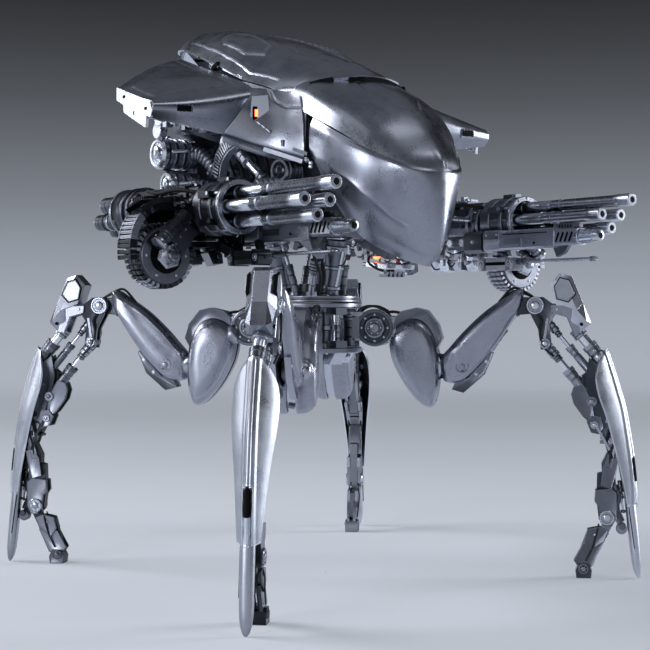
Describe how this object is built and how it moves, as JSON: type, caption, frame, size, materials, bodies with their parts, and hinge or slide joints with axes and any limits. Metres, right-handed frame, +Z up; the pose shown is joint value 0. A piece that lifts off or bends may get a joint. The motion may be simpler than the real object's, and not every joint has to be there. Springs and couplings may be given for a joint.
{
  "type": "walking robot",
  "caption": "Legged walking robot with armoured shells, spiked shins, a slewing turret body, and a rotary gun with feed drum on each side",
  "frame": {"origin": "Centre of the bounding box at the level of the floor that the feet stand on", "axes": "+Z up; the robot faces -Y; its left-hand side is +X. The slew axis of the turret is vertical and stands a little behind the origin"},
  "size_m": [0.579, 0.6022, 0.672],
  "materials": {
    "armour": "polished blue-grey plate with fine scratches",
    "frame_metal": "satin dark machined metal",
    "gun_metal": "dark polished gunmetal",
    "lamp": "small glowing red lamp"
  },
  "bodies": {
    "pelvis": {"pelvis_hub": "frame_metal"},
    "turret": {"waist_pylons": "frame_metal", "chassis": "frame_metal", "nose_hood": "armour", "nose_chin": "armour", "dorsal_plate": "armour", "wing_right": "armour", "wing_left": "armour", "engine_right": "gun_metal", "engine_left": "gun_metal", "nose_lamp": "lamp"},
    "coxa_front_right": {"hip_yoke_front_right": "frame_metal"},
    "hip_front_right": {"hip_arm_front_right": "frame_metal", "hip_pod_front_right": "armour"},
    "thigh_front_right": {"thigh_shell_front_right": "armour"},
    "knee_front_right": {"knee_rods_front_right": "frame_metal", "knee_guard_front_right": "armour"},
    "shin_front_right": {"shin_frame_front_right": "frame_metal", "shin_blade_front_right": "armour", "spike_front_right": "armour"},
    "foot_front_right": {"claw_front_right": "frame_metal"},
    "coxa_front_left": {"hip_yoke_front_left": "frame_metal"},
    "hip_front_left": {"hip_arm_front_left": "frame_metal", "hip_pod_front_left": "armour"},
    "thigh_front_left": {"thigh_shell_front_left": "armour"},
    "knee_front_left": {"knee_rods_front_left": "frame_metal", "knee_guard_front_left": "armour"},
    "shin_front_left": {"shin_frame_front_left": "frame_metal", "shin_blade_front_left": "armour", "spike_front_left": "armour"},
    "foot_front_left": {"claw_front_left": "frame_metal"},
    "coxa_rear_left": {"hip_yoke_rear_left": "frame_metal"},
    "hip_rear_left": {"hip_arm_rear_left": "frame_metal", "hip_pod_rear_left": "armour"},
    "thigh_rear_left": {"thigh_shell_rear_left": "armour"},
    "knee_rear_left": {"knee_rods_rear_left": "frame_metal", "knee_guard_rear_left": "armour"},
    "shin_rear_left": {"shin_frame_rear_left": "frame_metal", "shin_blade_rear_left": "armour", "spike_rear_left": "armour"},
    "foot_rear_left": {"claw_rear_left": "frame_metal"},
    "coxa_rear_right": {"hip_yoke_rear_right": "frame_metal"},
    "hip_rear_right": {"hip_arm_rear_right": "frame_metal", "hip_pod_rear_right": "armour"},
    "thigh_rear_right": {"thigh_shell_rear_right": "armour"},
    "knee_rear_right": {"knee_rods_rear_right": "frame_metal", "knee_guard_rear_right": "armour"},
    "shin_rear_right": {"shin_frame_rear_right": "frame_metal", "shin_blade_rear_right": "armour", "spike_rear_right": "armour"},
    "foot_rear_right": {"claw_rear_right": "frame_metal"},
    "gun_mount_right": {"gun_right": "gun_metal", "cannon_right": "gun_metal"},
    "rotor_right": {"barrels_right": "gun_metal"},
    "feed_drum_right": {"drum_right": "gun_metal"},
    "gun_mount_left": {"gun_left": "gun_metal", "cannon_left": "gun_metal"},
    "rotor_left": {"barrels_left": "gun_metal"},
    "feed_drum_left": {"drum_left": "gun_metal"}
  },
  "joints": [
    {"name": "turret_yaw", "type": "hinge", "parent": "pelvis", "child": "turret", "pos_m": [0, 0.0248, 0.3215], "axis": [0, 0, 1], "range_deg": [-15, 15]},
    {"name": "hip_yaw_front_right", "type": "hinge", "parent": "pelvis", "child": "coxa_front_right", "pos_m": [-0.03253, -0.00773, 0.2915], "axis": [0, 0, 1], "range_deg": [-14, 14]},
    {"name": "hip_pitch_front_right", "type": "hinge", "parent": "coxa_front_right", "child": "hip_front_right", "pos_m": [-0.05374, -0.02894, 0.2915], "axis": [-0.7071, 0.7071, 0], "range_deg": [-12, 3]},
    {"name": "thigh_pitch_front_right", "type": "hinge", "parent": "hip_front_right", "child": "thigh_front_right", "pos_m": [-0.12728, -0.10248, 0.246], "axis": [0.7071, -0.7071, 0], "range_deg": [-8, 22]},
    {"name": "knee_pitch_front_right", "type": "hinge", "parent": "thigh_front_right", "child": "knee_front_right", "pos_m": [-0.18717, -0.16237, 0.318], "axis": [0.7071, -0.7071, 0], "range_deg": [-18, 24]},
    {"name": "shin_slide_front_right", "type": "slide", "parent": "knee_front_right", "child": "shin_front_right", "axis": [0.4527, 0.4527, 0.7682], "range_m": [-0.006, 0.008]},
    {"name": "claw_pitch_front_right", "type": "hinge", "parent": "shin_front_right", "child": "foot_front_right", "pos_m": [-0.24551, -0.22071, 0.0713], "axis": [0.7071, -0.7071, 0], "range_deg": [-16, 28]},
    {"name": "hip_yaw_front_left", "type": "hinge", "parent": "pelvis", "child": "coxa_front_left", "pos_m": [0.03253, -0.00773, 0.2915], "axis": [0, 0, 1], "range_deg": [-14, 14]},
    {"name": "hip_pitch_front_left", "type": "hinge", "parent": "coxa_front_left", "child": "hip_front_left", "pos_m": [0.05374, -0.02894, 0.2915], "axis": [-0.7071, -0.7071, 0], "range_deg": [-12, 3]},
    {"name": "thigh_pitch_front_left", "type": "hinge", "parent": "hip_front_left", "child": "thigh_front_left", "pos_m": [0.12728, -0.10248, 0.246], "axis": [0.7071, 0.7071, 0], "range_deg": [-8, 22]},
    {"name": "knee_pitch_front_left", "type": "hinge", "parent": "thigh_front_left", "child": "knee_front_left", "pos_m": [0.18717, -0.16237, 0.318], "axis": [0.7071, 0.7071, 0], "range_deg": [-18, 24]},
    {"name": "shin_slide_front_left", "type": "slide", "parent": "knee_front_left", "child": "shin_front_left", "axis": [-0.4527, 0.4527, 0.7682], "range_m": [-0.006, 0.008]},
    {"name": "claw_pitch_front_left", "type": "hinge", "parent": "shin_front_left", "child": "foot_front_left", "pos_m": [0.24551, -0.22071, 0.0713], "axis": [0.7071, 0.7071, 0], "range_deg": [-16, 28]},
    {"name": "hip_yaw_rear_left", "type": "hinge", "parent": "pelvis", "child": "coxa_rear_left", "pos_m": [0.03253, 0.05733, 0.2915], "axis": [0, 0, 1], "range_deg": [-14, 14]},
    {"name": "hip_pitch_rear_left", "type": "hinge", "parent": "coxa_rear_left", "child": "hip_rear_left", "pos_m": [0.05374, 0.07854, 0.2915], "axis": [0.7071, -0.7071, 0], "range_deg": [-12, 3]},
    {"name": "thigh_pitch_rear_left", "type": "hinge", "parent": "hip_rear_left", "child": "thigh_rear_left", "pos_m": [0.12728, 0.15208, 0.246], "axis": [-0.7071, 0.7071, 0], "range_deg": [-8, 22]},
    {"name": "knee_pitch_rear_left", "type": "hinge", "parent": "thigh_rear_left", "child": "knee_rear_left", "pos_m": [0.18717, 0.21197, 0.318], "axis": [-0.7071, 0.7071, 0], "range_deg": [-18, 24]},
    {"name": "shin_slide_rear_left", "type": "slide", "parent": "knee_rear_left", "child": "shin_rear_left", "axis": [-0.4527, -0.4527, 0.7682], "range_m": [-0.006, 0.008]},
    {"name": "claw_pitch_rear_left", "type": "hinge", "parent": "shin_rear_left", "child": "foot_rear_left", "pos_m": [0.24551, 0.27031, 0.0713], "axis": [-0.7071, 0.7071, 0], "range_deg": [-16, 28]},
    {"name": "hip_yaw_rear_right", "type": "hinge", "parent": "pelvis", "child": "coxa_rear_right", "pos_m": [-0.03253, 0.05733, 0.2915], "axis": [0, 0, 1], "range_deg": [-14, 14]},
    {"name": "hip_pitch_rear_right", "type": "hinge", "parent": "coxa_rear_right", "child": "hip_rear_right", "pos_m": [-0.05374, 0.07854, 0.2915], "axis": [0.7071, 0.7071, 0], "range_deg": [-12, 3]},
    {"name": "thigh_pitch_rear_right", "type": "hinge", "parent": "hip_rear_right", "child": "thigh_rear_right", "pos_m": [-0.12728, 0.15208, 0.246], "axis": [-0.7071, -0.7071, 0], "range_deg": [-8, 22]},
    {"name": "knee_pitch_rear_right", "type": "hinge", "parent": "thigh_rear_right", "child": "knee_rear_right", "pos_m": [-0.18717, 0.21197, 0.318], "axis": [-0.7071, -0.7071, 0], "range_deg": [-18, 24]},
    {"name": "shin_slide_rear_right", "type": "slide", "parent": "knee_rear_right", "child": "shin_rear_right", "axis": [0.4527, -0.4527, 0.7682], "range_m": [-0.006, 0.008]},
    {"name": "claw_pitch_rear_right", "type": "hinge", "parent": "shin_rear_right", "child": "foot_rear_right", "pos_m": [-0.24551, 0.27031, 0.0713], "axis": [-0.7071, -0.7071, 0], "range_deg": [-16, 28]},
    {"name": "gun_pitch_right", "type": "hinge", "parent": "turret", "child": "gun_mount_right", "pos_m": [-0.093, 0.0188, 0.42], "axis": [-1, 0, 0], "range_deg": [-2, 14]},
    {"name": "barrel_spin_right", "type": "hinge", "parent": "gun_mount_right", "child": "rotor_right", "pos_m": [-0.203, -0.0852, 0.42], "axis": [0, 1, 0], "continuous": true},
    {"name": "drum_spin_right", "type": "hinge", "parent": "gun_mount_right", "child": "feed_drum_right", "pos_m": [-0.255, -0.0502, 0.37], "axis": [0, 1, 0], "continuous": true},
    {"name": "gun_pitch_left", "type": "hinge", "parent": "turret", "child": "gun_mount_left", "pos_m": [0.093, 0.0188, 0.42], "axis": [-1, 0, 0], "range_deg": [-2, 14]},
    {"name": "barrel_spin_left", "type": "hinge", "parent": "gun_mount_left", "child": "rotor_left", "pos_m": [0.203, -0.0852, 0.42], "axis": [0, 1, 0], "continuous": true},
    {"name": "drum_spin_left", "type": "hinge", "parent": "gun_mount_left", "child": "feed_drum_left", "pos_m": [0.255, -0.0502, 0.37], "axis": [0, 1, 0], "continuous": true}
  ],
  "couplings": [
    {"joint": "drum_spin_right", "follows": "barrel_spin_right", "ratio": -0.25},
    {"joint": "drum_spin_left", "follows": "barrel_spin_left", "ratio": -0.25}
  ]
}
